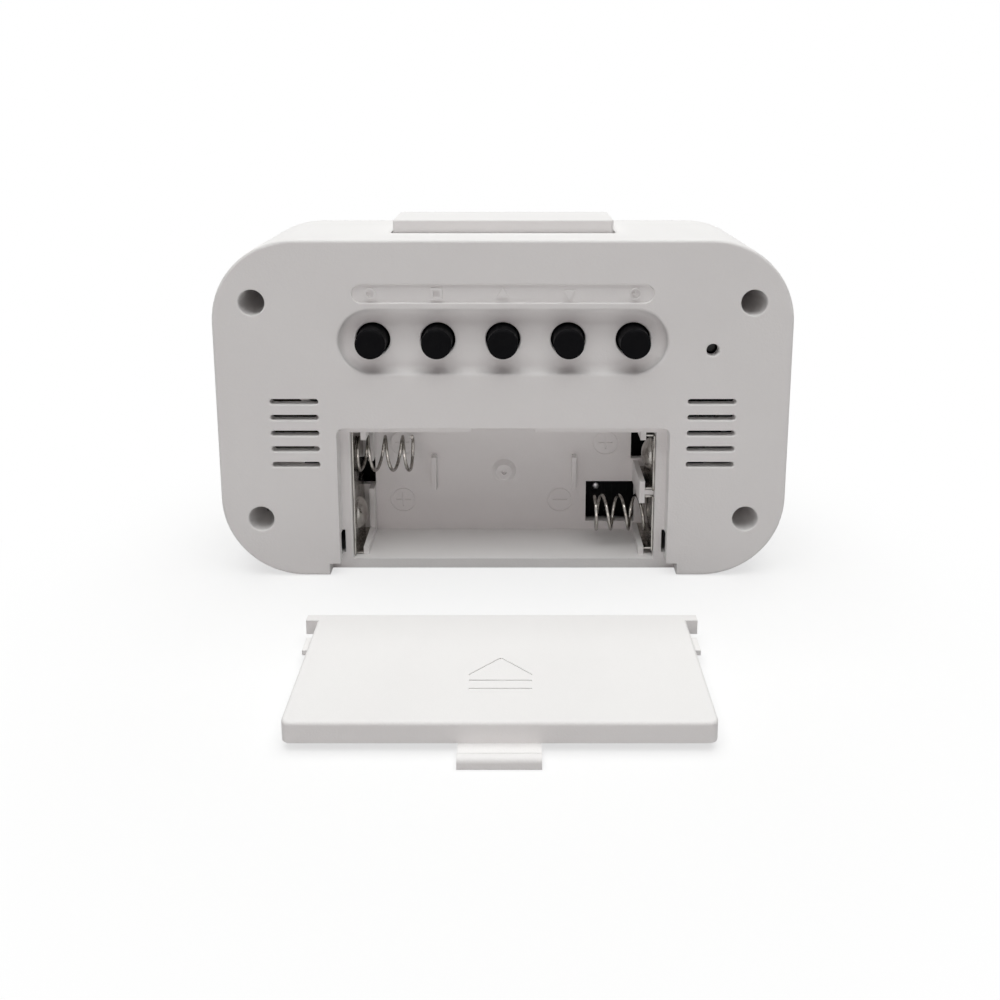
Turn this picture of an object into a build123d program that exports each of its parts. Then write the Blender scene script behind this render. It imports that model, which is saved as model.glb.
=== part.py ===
from build123d import *
import math
import os

# Digital desk clock with its battery door taken off and laid behind it.
# Millimetres, +Z up. The origin is the middle of the clock's underside. The display faces -Y, the keys +Y.

# Case walls and joint between its halves
corner_radius = 14.5
wall = 1.8
back_wall = 2.0
back_edge_radius = 0.6
mouth_radius = 0.25
bezel_depth = 3.5
front_wall = 2.4
front_edge_radius = 2.6
lip_depth = 2.0
lip_thickness = 1.0
fit_gap = 0.1
bite = 0.5

# Battery bay for two slim cells, which sets the clock's width, height and depth
bay_width = 54.7
bay_depth = 15.1
bay_wall = 1.5
side_room = 22.65
board_room = 3.9
cell_side_room = 6.25
cell_pitch = 11.6
cell_wall_gap = 6.0
partition_thickness = 1.0
partition_depth = 10.4
contact_slot = 1.6
curb_height = 1.4
top_tab_height = 2.1
post_height = 4.2
divider_thickness = 0.9
web_depth = 2.2
end_hole_height = 5.6
end_gap_width = 3.0
end_gap_rise = 2.45
fin_x = 13.35
fin_thickness = 0.8
fin_height = 6.8
fin_depth = 2.0
bay_boss_diameter = 4.7
bay_boss_top_diameter = 3.0
bay_boss_height = 0.8
bay_boss_dimple = 1.0
mark_diameter = 5.0
mark_line = 0.35
mark_depth = 0.12
mark_arm_share = 0.55
mark_inset = 7.85
mark_window_gap = 2.5
bay_window_inset = 2.15
bay_window_width = 9.4
bay_window_height = 8.2
bay_window_sink = 0.45

# Case screws, down deep wells from the back
screw_inset_x = 7.0
screw_inset_z = 10.85
screw_well_diameter = 4.5
screw_boss_wall = 1.4
screw_seat = 2.0
case_boss_length = 9.1
case_boss_wall = 1.4
case_screw_diameter = 2.5
case_screw_head = 4.1
case_screw_head_height = 1.6
case_screw_grip = 6.2
screw_play = 0.05
cross_slot_length = 0.72
cross_slot_width = 0.2

# Display, from the front
frame_clearance = 0.7
frame_margin_z = 7.9
frame_wall = 1.0
lcd_border_x = 0.5
lcd_border_z = 1.5
window_radius = 3.0
lens_overlap = 1.25
lens_thickness = 1.2
lens_recess = 0.4
glass_thickness = 1.1
contact_ledge = 3.5
light_guide_thickness = 2.0
reflector_thickness = 0.2
zebra_end_gap = 4.5
zebra_height = 2.2
zebra_inset = 0.4

# Boards and what they carry
board_thickness = 1.2
board_screw_spread = 17.0
board_screw_diameter = 1.9
board_screw_head = 3.6
board_screw_head_height = 1.2
board_screw_grip = 3.4
board_boss_wall = 1.2
board_ear_margin = 2.6
board_foot_margin = 1.2
board_foot_gap = 0.4
led_thickness = 1.4
led_length = 3.5
led_spread = 14.0
blob_diameter = 14.0
blob_height = 1.6
blob_round_share = 0.8
blob_x = 14.0
blob_rise = 6.0
crystal_diameter = 2.0
crystal_length = 6.0
crystal_x = -2.0
crystal_rise = 15.0
crystal_pad = 1.2

# Keys, in a row from +X to -X, and their recess
key_names = ("mode", "set", "up", "down", "timer")
key_pitch = 11.33
key_rise = 15.5
key_drop = 17.8
key_diameter = 5.25
key_hole_gap = 0.4
key_edge_radius = 0.4
key_proud = 1.8
key_travel = 0.5
key_flange_overlap = 0.675
key_flange_thickness = 0.8
key_flange_gap = 0.35
key_recess_margin_x = 5.7
key_recess_height = 11.2
key_recess_depth = 2.0
key_recess_floor_radius = 1.1
key_recess_rim_radius = 0.5
key_floor = 1.5
switch_side = 6.0
switch_height = 3.5
switch_stem_diameter = 3.2
switch_stem_proud = 1.0
switch_stem_seat = 1.0
switch_stem_play = 0.15
key_board_above = 8.3
key_board_below = 6.2
key_board_margin = 8.3
key_screw_outset = 5.8
key_screw_spread = 9.6
ribbon_width = 12.0
ribbon_thickness = 0.4
ribbon_x = -18.0
ribbon_sink = 3.2

# Label recess above the keys, with a small raised sign for each key
label_overhang = 3.14
label_height = 3.2
label_depth = 0.4
label_rim_radius = 0.2
label_rise = 2.9
sign_size = 2.0
sign_line = 0.45
sign_height = 0.35

# Pin hole and its reset switch
pin_hole_diameter = 2.2
pin_hole_outset = 13.54
pin_hole_sink = 1.4
reset_switch_side = 4.5
reset_switch_height = 2.5
reset_stem_diameter = 1.8
reset_stem_gap = 0.65
reset_stem_seat = 0.7
reset_travel = 0.25
reset_board_margin = 3.4

# Vents, buzzer and temperature sensor
vent_count = 5
vent_outset = 9.05
vent_length = 8.4
vent_height = 0.95
vent_pitch = 2.88
vent_low_z = 21.0
buzzer_gap = 0.9
buzzer_side_gap = 2.6
buzzer_thickness = 0.4
buzzer_ring_wall = 0.9
buzzer_ring_height = 2.25
lead_diameter = 0.9
buzzer_lead_spread = 6.0
sensor_diameter = 2.4
sensor_setback = 4.0
sensor_leg_diameter = 0.5
sensor_leg_spread = 1.2

# Snooze bar
bar_width = 39.2
bar_setback = 8.5
bar_lip_gap = 0.8
bar_proud = 2.3
bar_corner_radius = 0.7
bar_edge_radius = 0.3
bar_slot_gap = 0.35
bar_wall = 1.5
bar_flange = 1.2
bar_flange_thickness = 1.0
bar_flange_gap = 0.2
bar_stem_width = 4.0
bar_stem_depth = 3.0
snooze_travel = 0.8
snooze_switch_depth = 3.6
snooze_stem_diameter = 2.4
snooze_stem_proud = 1.0
snooze_stem_seat = 1.2

# Battery contacts and springs
contact_thickness = 0.3
contact_play = 0.05
contact_width = 11.2
contact_height = 10.4
contact_dimple_diameter = 6.4
contact_dimple_height = 1.5
tail_width = 3.0
tail_length = 1.9
tail_rise = 3.0
lead_reach = 3.4
lead_bend_radius = 1.3
spring_wire = 0.6
spring_diameter = 6.8
spring_length = 10.3
spring_turns = 3
spring_end_pitch = 1.3
spring_lead_radius = 0.8
gap_samples = 240

# Seat of the battery door in the back
door_side_ledge = 1.85
door_top_ledge = 1.8
door_seat_depth = 3.0
door_seat_radius = 1.3
door_seat_wall = 1.5
notch_outset = 1.95
notch_height = 2.3
latch_notch_play = 0.15
latch_notch_depth = 1.9
tab_slot_low_z = 3.0
tab_slot_height = 4.4
tab_slot_play = 0.25

# Battery door, lying with its outer face up and its tab end towards the clock
door_gap = 20.7
door_side_play = 0.35
door_top_play = 1.2
door_plate = 1.5
door_rim_wall = 1.2
door_edge_radius = 0.5
door_strip_play = 0.55
door_strip_length = 1.6
door_tab_drop = 1.8
door_tab_thickness = 0.8
door_tab_play = 0.45
door_tab_reach = 1.3
door_rib_reach = 1.2
door_rib_thickness = 1.2
door_rib_x = 18.0
door_rib_setback = 4.0
tongue_width = 11.0
tongue_length = 3.5
tongue_root = 2.0
tongue_hook_length = 1.6
tongue_hook_step = 0.25
tongue_round_share = 0.42
slide_mark_width = 8.8
slide_mark_line = 0.45
slide_mark_depth = 0.15
slide_mark_inset = 7.3
slide_mark_rise = 4.1
slide_mark_gap = 1.3
slide_bar_pitch = 1.9

# Overall sizes
display_depth = 2 * glass_thickness + light_guide_thickness + reflector_thickness
case_width = bay_width + 2 * side_room
case_depth = front_wall + display_depth + board_thickness + board_room + bay_wall + bay_depth
cell_low_z = wall + cell_side_room
cell_high_z = cell_low_z + cell_pitch
cell_middle_z = cell_low_z + cell_pitch / 2
bay_top_z = cell_high_z + cell_side_room
door_seat_width = bay_width + 2 * door_side_ledge
door_seat_top_z = bay_top_z + door_top_ledge
notch_width = door_seat_width + 2 * notch_outset
key_z = door_seat_top_z + key_rise
case_height = key_z + key_drop
middle_z = case_height / 2

# Depths along Y
back_y = case_depth / 2
front_y = -case_depth / 2
parting_y = front_y + bezel_depth
back_inner_y = back_y - back_wall
front_inner_y = front_y + front_wall
lens_front_y = front_y + lens_recess
lens_back_y = lens_front_y + lens_thickness
lcd_middle_y = front_inner_y + glass_thickness
lcd_back_y = lcd_middle_y + glass_thickness
guide_back_y = lcd_back_y + light_guide_thickness
main_board_front_y = guide_back_y + reflector_thickness
main_board_back_y = main_board_front_y + board_thickness
screw_boss_y = front_inner_y + case_boss_length
screw_seat_y = screw_boss_y + screw_seat
key_recess_y = back_y - key_recess_depth
key_inner_y = key_recess_y - key_floor
key_flange_back_y = key_inner_y - key_flange_gap
key_flange_front_y = key_flange_back_y - key_flange_thickness
switch_top_y = key_flange_front_y - switch_stem_proud
key_board_back_y = switch_top_y - switch_height
key_board_front_y = key_board_back_y - board_thickness
bay_deep_y = back_y - bay_depth
cell_y = bay_deep_y + cell_wall_gap
door_seat_y = back_y - door_seat_depth
buzzer_back_y = back_inner_y - buzzer_ring_height
bar_back_y = back_y - bar_setback
bar_front_y = parting_y + lip_depth + bar_lip_gap + bar_flange
bar_depth = bar_back_y - bar_front_y
bar_middle_y = (bar_back_y + bar_front_y) / 2
snooze_stem_y = key_board_front_y - snooze_switch_depth / 2

# Heights along Z
label_z = key_z + key_recess_height / 2 + label_rise
pin_hole_z = key_z - pin_hole_sink
vent_middle_z = vent_low_z + vent_pitch * (vent_count - 1) / 2
top_inner_z = case_height - wall
key_board_top_z = key_z + key_board_above
key_board_low_z = key_z - key_board_below
bar_flange_top_z = top_inner_z - bar_flange_gap
bar_flange_low_z = bar_flange_top_z - bar_flange_thickness
snooze_stem_top_z = key_board_top_z + snooze_stem_proud

# Places along X
key_row_width = key_pitch * (len(key_names) - 1)
key_xs = [key_row_width / 2 - key_pitch * place for place in range(len(key_names))]
key_hole_diameter = key_diameter + 2 * key_hole_gap
key_recess_width = key_row_width + 2 * key_recess_margin_x
label_width = key_row_width + 2 * label_overhang
pin_hole_x = -key_row_width / 2 - pin_hole_outset
screw_x = case_width / 2 - screw_inset_x
screw_places = [(x, z) for x in (screw_x, -screw_x) for z in (screw_inset_z, case_height - screw_inset_z)]
board_screw_places = [
    (x, middle_z + rise)
    for x in (screw_x, -screw_x)
    for rise in (-board_screw_spread / 2, board_screw_spread / 2)
]
key_screw_x = key_row_width / 2 + key_screw_outset
key_screw_places = [
    (x, key_z + rise)
    for x in (key_screw_x, -key_screw_x)
    for rise in (-key_screw_spread / 2, key_screw_spread / 2)
]
vent_x = bay_width / 2 + vent_outset
door_seat_outer_x = door_seat_width / 2 + door_seat_wall
buzzer_diameter = case_width / 2 - wall - buzzer_side_gap - door_seat_outer_x - buzzer_gap
buzzer_x = door_seat_outer_x + buzzer_gap + buzzer_diameter / 2
partition_outer_x = bay_width / 2 - contact_slot
partition_inner_x = partition_outer_x - partition_thickness
contact_back_x = bay_width / 2 - contact_play
contact_face_x = contact_back_x - contact_thickness
mark_x = bay_width / 2 - mark_inset
bay_window_x = bay_width / 2 - bay_window_inset - bay_window_width / 2
mark_inner_x = bay_window_x - bay_window_width / 2 - mark_window_gap - mark_diameter / 2

# Display sizes
case_boss_radius = case_screw_diameter / 2 + screw_play + case_boss_wall
frame_width = case_width - 2 * (screw_inset_x + case_boss_radius + frame_clearance)
frame_height = case_height - 2 * frame_margin_z
lcd_width = frame_width - 2 * (frame_wall + fit_gap)
lcd_height = frame_height - 2 * (frame_wall + fit_gap)
window_width = lcd_width - 2 * lcd_border_x
window_height = lcd_height - 2 * lcd_border_z
zebra_length = lcd_width - 2 * zebra_end_gap
lcd_top_z = middle_z + lcd_height / 2
guide_low_z = middle_z - lcd_height / 2 + contact_ledge

# Door sizes
door_width = door_seat_width - 2 * door_side_play
door_length = door_seat_top_z - door_top_play
door_strip_width = notch_width - 2 * door_strip_play
door_top_z = door_seat_depth + door_rib_reach
door_start_y = back_y + door_gap
door_end_y = door_start_y + door_length


def slab(outline, y_low, y_high):
    """Solid of an outline drawn in X and Z, between two depths."""
    plane = Plane(origin=(0, y_high, 0), x_dir=(1, 0, 0), z_dir=(0, -1, 0))
    return extrude(plane * outline, amount=y_high - y_low)


def pillar(outline, z_low, z_high):
    """Solid of an outline drawn in X and Y, between two heights."""
    return extrude(Plane(origin=(0, 0, z_low)) * outline, amount=z_high - z_low)


def rod(x, z, radius, y_low, y_high):
    """Round bar along Y."""
    return slab(Pos(x, z) * Circle(radius), y_low, y_high)


def block(x_span, y_span, z_span):
    """Box between two places on each axis, given in either order."""
    spans = (x_span, y_span, z_span)
    middle = [(first + last) / 2 for first, last in spans]
    sizes = [abs(last - first) for first, last in spans]
    return Pos(*middle) * Box(*sizes)


def case_outline(inset):
    """The clock's rounded outline, drawn in by an inset."""
    outline = RectangleRounded(case_width - 2 * inset, case_height - 2 * inset, corner_radius - inset)
    return Pos(0, middle_z) * outline


def round_plate(width, height, radius, y_low, y_high):
    """Plate with rounded corners, centred on the display."""
    return slab(Pos(0, middle_z) * RectangleRounded(width, height, radius), y_low, y_high)


def flat_edges(solid, y, low, high):
    """Edges that lie in one depth plane, inside a window from low to high in X and Z."""
    chosen = []
    for edge in solid.edges():
        box = edge.bounding_box()
        in_plane = abs(box.min.Y - y) < 1e-4 and abs(box.max.Y - y) < 1e-4
        in_x = box.min.X > low[0] and box.max.X < high[0]
        in_z = box.min.Z > low[1] and box.max.Z < high[1]
        if in_plane and in_x and in_z:
            chosen.append(edge)
    return chosen


def group(solids):
    """Several like solids as one node."""
    return Compound(children=list(solids))


def tapping_screw(x, z, seat_y, direction, shank, head, head_height, grip):
    """Pan-head screw along Y with a cross slot, its shank running from the seat along direction."""
    shank_end = seat_y + direction * grip
    head_end = seat_y - direction * head_height
    body = rod(x, z, shank / 2, min(seat_y, shank_end), max(seat_y, shank_end))
    body += rod(x, z, head / 2, min(seat_y, head_end), max(seat_y, head_end))
    slot_depth = head_height / 2
    slot_y = (head_end, head_end + direction * slot_depth)
    slot_half = head * cross_slot_length / 2
    slot_width = head * cross_slot_width / 2
    body -= block((x - slot_half, x + slot_half), slot_y, (z - slot_width, z + slot_width))
    body -= block((x - slot_width, x + slot_width), slot_y, (z - slot_half, z + slot_half))
    return body


# Rear case


def case_shell():
    """Outer walls, open at the front."""
    outer = slab(case_outline(0), parting_y, back_y)
    outer = fillet(outer.faces().sort_by(Axis.Y)[-1].edges(), back_edge_radius)
    return outer - slab(case_outline(wall), parting_y, back_inner_y)


def inner_growths():
    """What grows inwards from the back wall: wells, key floor, bosses, buzzer ring and bay."""
    inside = back_inner_y + bite
    well_radius = screw_well_diameter / 2 + screw_boss_wall
    growths = [rod(x, z, well_radius, screw_boss_y, inside) for x, z in screw_places]
    floor_outline = SlotOverall(key_recess_width + 2 * key_floor, key_recess_height + 2 * key_floor)
    growths.append(slab(Pos(0, key_z) * floor_outline, key_inner_y, inside))
    boss_radius = board_screw_diameter / 2 + screw_play + board_boss_wall
    growths += [rod(x, z, boss_radius, key_board_back_y, inside) for x, z in key_screw_places]
    growths.append(rod(buzzer_x, vent_middle_z, buzzer_diameter / 2, buzzer_back_y, inside))
    bay_half = bay_width / 2 + bay_wall
    bay_span = (bay_deep_y - bay_wall, inside)
    growths.append(block((-bay_half, bay_half), bay_span, (bite, bay_top_z + bay_wall)))
    seat_x = (-door_seat_outer_x, door_seat_outer_x)
    seat_span = (door_seat_y - door_seat_wall, inside)
    growths.append(block(seat_x, seat_span, (bite, door_seat_top_z + door_seat_wall)))
    return growths


def case_cuts():
    """Holes and hollows of the rear case that go in from the back or the top."""
    outside = back_y + bite
    cuts = []
    for x, z in screw_places:
        cuts.append(rod(x, z, screw_well_diameter / 2, screw_seat_y, outside))
        cuts.append(rod(x, z, case_screw_diameter / 2 + screw_play, screw_boss_y - bite, screw_seat_y))
    for x, z in key_screw_places:
        pilot_end = key_board_back_y + board_screw_grip
        cuts.append(rod(x, z, board_screw_diameter / 2 + screw_play, key_board_back_y - bite, pilot_end))
    cuts += [rod(x, key_z, key_hole_diameter / 2, key_inner_y - bite, outside) for x in key_xs]
    cuts.append(rod(pin_hole_x, pin_hole_z, pin_hole_diameter / 2, back_inner_y - bite, outside))
    ring_bore = buzzer_diameter / 2 - buzzer_ring_wall
    cuts.append(rod(buzzer_x, vent_middle_z, ring_bore, buzzer_back_y - bite, back_inner_y))
    for side in (1, -1):
        for step in range(vent_count):
            vent = SlotOverall(vent_length, vent_height)
            vent_z = vent_low_z + step * vent_pitch
            cuts.append(slab(Pos(side * vent_x, vent_z) * vent, back_inner_y - bite, outside))
    slot = RectangleRounded(bar_width + 2 * bar_slot_gap, bar_depth + 2 * bar_slot_gap, bar_corner_radius)
    cuts.append(pillar(Pos(0, bar_middle_y) * slot, top_inner_z - bite, case_height + bite))
    return cuts


def door_seat_cuts():
    """Seat of the battery door: recess, bottom notch, latch notch, tab slots, and the bay itself."""
    outside = back_y + bite
    below = -bite
    recess_height = door_seat_top_z + door_seat_radius + bite
    recess = RectangleRounded(door_seat_width, recess_height, door_seat_radius)
    recess_middle = door_seat_top_z - recess_height / 2
    bay_half = bay_width / 2
    cuts = [slab(Pos(0, recess_middle) * recess, door_seat_y, outside)]
    cuts.append(block((-notch_width / 2, notch_width / 2), (door_seat_y, outside), (below, notch_height)))
    cuts.append(block((-bay_half, bay_half), (bay_deep_y, outside), (wall, bay_top_z)))
    latch_half = tongue_width / 2 + latch_notch_play
    latch_top_z = door_seat_top_z + door_seat_wall + bite
    latch_span = (door_seat_y - latch_notch_depth, door_seat_y)
    cuts.append(block((-latch_half, latch_half), latch_span, (bay_top_z - bite, latch_top_z)))
    slot_back_y = back_y - door_tab_drop + tab_slot_play
    slot_front_y = door_seat_y - door_seat_wall - bite
    seat_half = door_seat_width / 2
    slot_z = (tab_slot_low_z, tab_slot_low_z + tab_slot_height)
    for side in (1, -1):
        slot_x = (side * (seat_half - bite), side * (seat_half + door_tab_reach + tab_slot_play))
        cuts.append(block(slot_x, (slot_front_y, slot_back_y), slot_z))
    return cuts


def polarity_mark(x, z, positive):
    """Engraved ring with a plus or a minus in the bay's deep wall."""
    radius = mark_diameter / 2
    arm = radius * mark_arm_share
    half_line = mark_line / 2
    sign = Circle(radius) - Circle(radius - mark_line)
    sign += Rectangle(2 * arm, 2 * half_line)
    if positive:
        sign += Rectangle(2 * half_line, 2 * arm)
    return slab(Pos(x, z) * sign, bay_deep_y - mark_depth, bay_deep_y)


def bay_cuts():
    """Window, contact slit, end openings and polarity marks of the bay."""
    through = (bay_deep_y - bay_wall - bite, bay_deep_y + bite)
    window_x = (-bay_window_x - bay_window_width / 2, -bay_window_x + bay_window_width / 2)
    window_middle_z = cell_low_z - bay_window_sink
    window_z = (window_middle_z - bay_window_height / 2, window_middle_z + bay_window_height / 2)
    cuts = [block(window_x, through, window_z)]
    slit_x = (-contact_face_x + fit_gap, -bay_width / 2)
    slit_half = tail_width / 2 + fit_gap
    slit_z = (cell_low_z + tail_rise - slit_half, cell_low_z + tail_rise + slit_half)
    cuts.append(block(slit_x, through, slit_z))
    gap_x = (-bay_width / 2, end_gap_width - bay_width / 2)
    cuts.append(block(gap_x, through, (cell_middle_z + end_gap_rise, bay_top_z)))
    hole_x = (partition_inner_x, bay_width / 2)
    hole_z = (cell_middle_z - end_hole_height / 2, cell_middle_z + end_hole_height / 2)
    cuts.append(block(hole_x, (bay_deep_y - bay_wall - bite, bay_deep_y + web_depth), hole_z))
    cuts.append(polarity_mark(mark_x, cell_low_z, True))
    cuts.append(polarity_mark(-mark_inner_x, cell_low_z, False))
    cuts.append(polarity_mark(mark_x, cell_high_z, False))
    cuts.append(polarity_mark(-mark_x, cell_high_z, True))
    return cuts


def bay_growths():
    """Partitions for the contacts, fins between the cells and the dimpled boss."""
    deep = bay_deep_y - bite
    front = bay_deep_y + partition_depth
    curb_z = (wall - bite, wall + curb_height)
    tab_z = (bay_top_z - top_tab_height, bay_top_z + bite)
    fin_z = (cell_middle_z - fin_height / 2, cell_middle_z + fin_height / 2)
    growths = []
    for side in (1, -1):
        partition_x = (side * partition_inner_x, side * partition_outer_x)
        growths.append(block(partition_x, (deep, front), curb_z))
        growths.append(block(partition_x, (deep, front), tab_z))
        fin_span = (side * fin_x - fin_thickness / 2, side * fin_x + fin_thickness / 2)
        growths.append(block(fin_span, (deep, bay_deep_y + fin_depth), fin_z))
    return growths + [bridge_web(), post_and_divider(), dimpled_boss()]


def bridge_web():
    """Low wall before the bridge contact."""
    web_x = (partition_inner_x, partition_outer_x)
    return block(web_x, (bay_deep_y - bite, bay_deep_y + web_depth), (wall - bite, bay_top_z + bite))


def post_and_divider():
    """Post between the two single contacts, and the web that keeps them apart."""
    span_y = (bay_deep_y - bite, bay_deep_y + partition_depth)
    post_z = (cell_middle_z - post_height / 2, cell_middle_z + post_height / 2)
    divider_z = (cell_middle_z - divider_thickness / 2, cell_middle_z + divider_thickness / 2)
    post = block((-partition_inner_x, -partition_outer_x), span_y, post_z)
    return post + block((-partition_inner_x, -bay_width / 2 - bite), span_y, divider_z)


def dimpled_boss():
    """Low cone in the middle of the deep wall, with a dimple in its top."""
    plane = Plane(origin=(0, bay_deep_y, cell_middle_z), x_dir=(1, 0, 0), z_dir=(0, 1, 0))
    base = plane * Circle(bay_boss_diameter / 2)
    top = plane.offset(bay_boss_height) * Circle(bay_boss_top_diameter / 2)
    boss = loft([base, top])
    boss += rod(0, cell_middle_z, bay_boss_diameter / 2, bay_deep_y - bite, bay_deep_y)
    dimple_y = bay_deep_y + bay_boss_height / 2
    dimple_end_y = bay_deep_y + 2 * bay_boss_height
    return boss - rod(0, cell_middle_z, bay_boss_dimple / 2, dimple_y, dimple_end_y)


def key_recess_cut():
    """Pill hollow round the keys, with a rounded floor."""
    pill = Pos(0, key_z) * SlotOverall(key_recess_width, key_recess_height)
    hollow = slab(pill, key_recess_y, back_y + bite)
    return fillet(hollow.faces().sort_by(Axis.Y)[0].edges(), key_recess_floor_radius)


def key_signs():
    """One small raised sign for each key: ring, square, up arrow, down arrow, dial."""
    half = sign_size / 2
    up = Triangle(a=sign_size, b=sign_size, c=sign_size)
    dial = Circle(half) - Circle(half - sign_line / 2) + Pos(0, half / 4) * Rectangle(sign_line / 2, half)
    shapes = [
        Circle(half) - Circle(half - sign_line),
        Rectangle(sign_size, sign_size) - Rectangle(sign_size - 2 * sign_line, sign_size - 2 * sign_line),
        up,
        Rot(0, 0, 180) * up,
        dial + Pos(half / 4, 0) * Rectangle(half / 2, sign_line / 2),
    ]
    floor_y = back_y - label_depth
    return [
        slab(Pos(x, label_z) * shape, floor_y - bite, floor_y + sign_height)
        for x, shape in zip(key_xs, shapes)
    ]


def key_mouth_edges(case):
    """Edges of the key holes in the recess floor."""
    reach = key_hole_diameter / 2 + bite
    edges = []
    for x in key_xs:
        edges += flat_edges(case, key_recess_y, (x - reach, key_z - reach), (x + reach, key_z + reach))
    return edges


def mouth_edges(case):
    """Edges of the screw wells, the vents and the pin hole in the back face."""
    mouths = [(x, z, screw_well_diameter, screw_well_diameter) for x, z in screw_places]
    mouths.append((pin_hole_x, pin_hole_z, pin_hole_diameter, pin_hole_diameter))
    vent_span = vent_pitch * (vent_count - 1) + vent_height
    mouths += [(side * vent_x, vent_middle_z, vent_length, vent_span) for side in (1, -1)]
    edges = []
    for x, z, width, height in mouths:
        low = (x - width / 2 - bite, z - height / 2 - bite)
        high = (x + width / 2 + bite, z + height / 2 + bite)
        edges += flat_edges(case, back_y, low, high)
    return edges


def make_rear_case():
    case = case_shell() + inner_growths()
    case -= key_recess_cut()
    rim_low = (-key_recess_width / 2 - bite, key_z - key_recess_height / 2 - bite)
    rim_high = (key_recess_width / 2 + bite, key_z + key_recess_height / 2 + bite)
    case = fillet(flat_edges(case, back_y, rim_low, rim_high), key_recess_rim_radius)
    case -= case_cuts()
    case = fillet(mouth_edges(case) + key_mouth_edges(case), mouth_radius)
    case -= door_seat_cuts()
    label = Pos(0, label_z) * SlotOverall(label_width, label_height)
    case -= slab(label, back_y - label_depth, back_y + bite)
    label_low = (-label_width / 2 - bite, label_z - label_height / 2 - bite)
    label_high = (label_width / 2 + bite, label_z + label_height / 2 + bite)
    case = fillet(flat_edges(case, back_y, label_low, label_high), label_rim_radius)
    case += bay_growths()
    case -= bay_cuts()
    case += key_signs()
    return case


# Front bezel and display


def make_front_bezel():
    bezel = slab(case_outline(0), front_y, parting_y)
    bezel = fillet(bezel.faces().sort_by(Axis.Y)[0].edges(), front_edge_radius)
    lip_outer = wall + fit_gap
    lip_inner = lip_outer + lip_thickness
    bezel -= slab(case_outline(lip_inner), front_inner_y, parting_y)
    lip = case_outline(lip_outer) - case_outline(lip_inner)
    bezel += slab(lip, parting_y - bite, parting_y + lip_depth)
    bezel += [rod(x, z, case_boss_radius, front_inner_y - bite, screw_boss_y) for x, z in screw_places]
    post_radius = board_screw_diameter / 2 + screw_play + board_boss_wall
    post_y = (front_inner_y - bite, main_board_front_y)
    bezel += [rod(x, z, post_radius, *post_y) for x, z in board_screw_places]
    pilot_y = screw_boss_y - case_screw_grip
    pilot = case_screw_diameter / 2 + screw_play
    bezel -= [rod(x, z, pilot, pilot_y, screw_boss_y) for x, z in screw_places]
    board_pilot = board_screw_diameter / 2 + screw_play
    board_pilot_y = main_board_back_y - board_screw_grip - board_thickness
    bezel -= [rod(x, z, board_pilot, board_pilot_y, main_board_front_y) for x, z in board_screw_places]
    bezel -= round_plate(window_width, window_height, window_radius, front_y, front_inner_y)
    pocket_width = window_width + 2 * (lens_overlap + fit_gap)
    pocket_height = window_height + 2 * (lens_overlap + fit_gap)
    bezel -= round_plate(pocket_width, pocket_height, window_radius + lens_overlap, front_y, lens_back_y)
    return bezel


def make_display():
    """Lens, glass, light guide, reflector, frame and contact strip, from the front backwards."""
    lens_width = window_width + 2 * lens_overlap
    lens_height = window_height + 2 * lens_overlap
    lens_radius = window_radius + lens_overlap
    low_z = middle_z - lcd_height / 2
    glass_x = (-lcd_width / 2, lcd_width / 2)
    guide_x = (-lcd_width / 2 + led_thickness + 2 * fit_gap, lcd_width / 2)
    guide_z = (guide_low_z, lcd_top_z)
    frame_hole = Rectangle(lcd_width + 2 * fit_gap, lcd_height + 2 * fit_gap)
    ring = Rectangle(frame_width, frame_height) - frame_hole
    zebra_low_z = low_z + zebra_inset
    return {
        "display_lens": round_plate(lens_width, lens_height, lens_radius, lens_front_y, lens_back_y),
        "lcd_front_glass": block(glass_x, (front_inner_y, lcd_middle_y), (low_z, lcd_top_z)),
        "lcd_rear_glass": block(glass_x, (lcd_middle_y, lcd_back_y), guide_z),
        "light_guide": block(guide_x, (lcd_back_y, guide_back_y), guide_z),
        "reflector_sheet": block(guide_x, (guide_back_y, main_board_front_y), guide_z),
        "lcd_frame": slab(Pos(0, middle_z) * ring, front_inner_y, main_board_front_y),
        "zebra_strip": block(
            (-zebra_length / 2, zebra_length / 2),
            (lcd_middle_y, main_board_front_y),
            (zebra_low_z, zebra_low_z + zebra_height),
        ),
    }


# Boards


def make_main_board():
    """Board with ears for its screws and a foot that stands behind the bay's window."""
    depth = (main_board_front_y, main_board_back_y)
    ear_half = screw_x + board_ear_margin
    ear_height = board_screw_spread + 2 * board_ear_margin
    outline = Rectangle(frame_width, frame_height) + Rectangle(2 * ear_half, ear_height)
    board = slab(Pos(0, middle_z) * outline, *depth)
    foot_half = bay_window_width / 2 + board_foot_margin
    foot_x = (-bay_window_x - foot_half, -bay_window_x + foot_half)
    board += block(foot_x, depth, (wall + board_foot_gap, middle_z))
    hole = board_screw_diameter / 2 + screw_play
    return board - [rod(x, z, hole, *depth) for x, z in board_screw_places]


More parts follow.
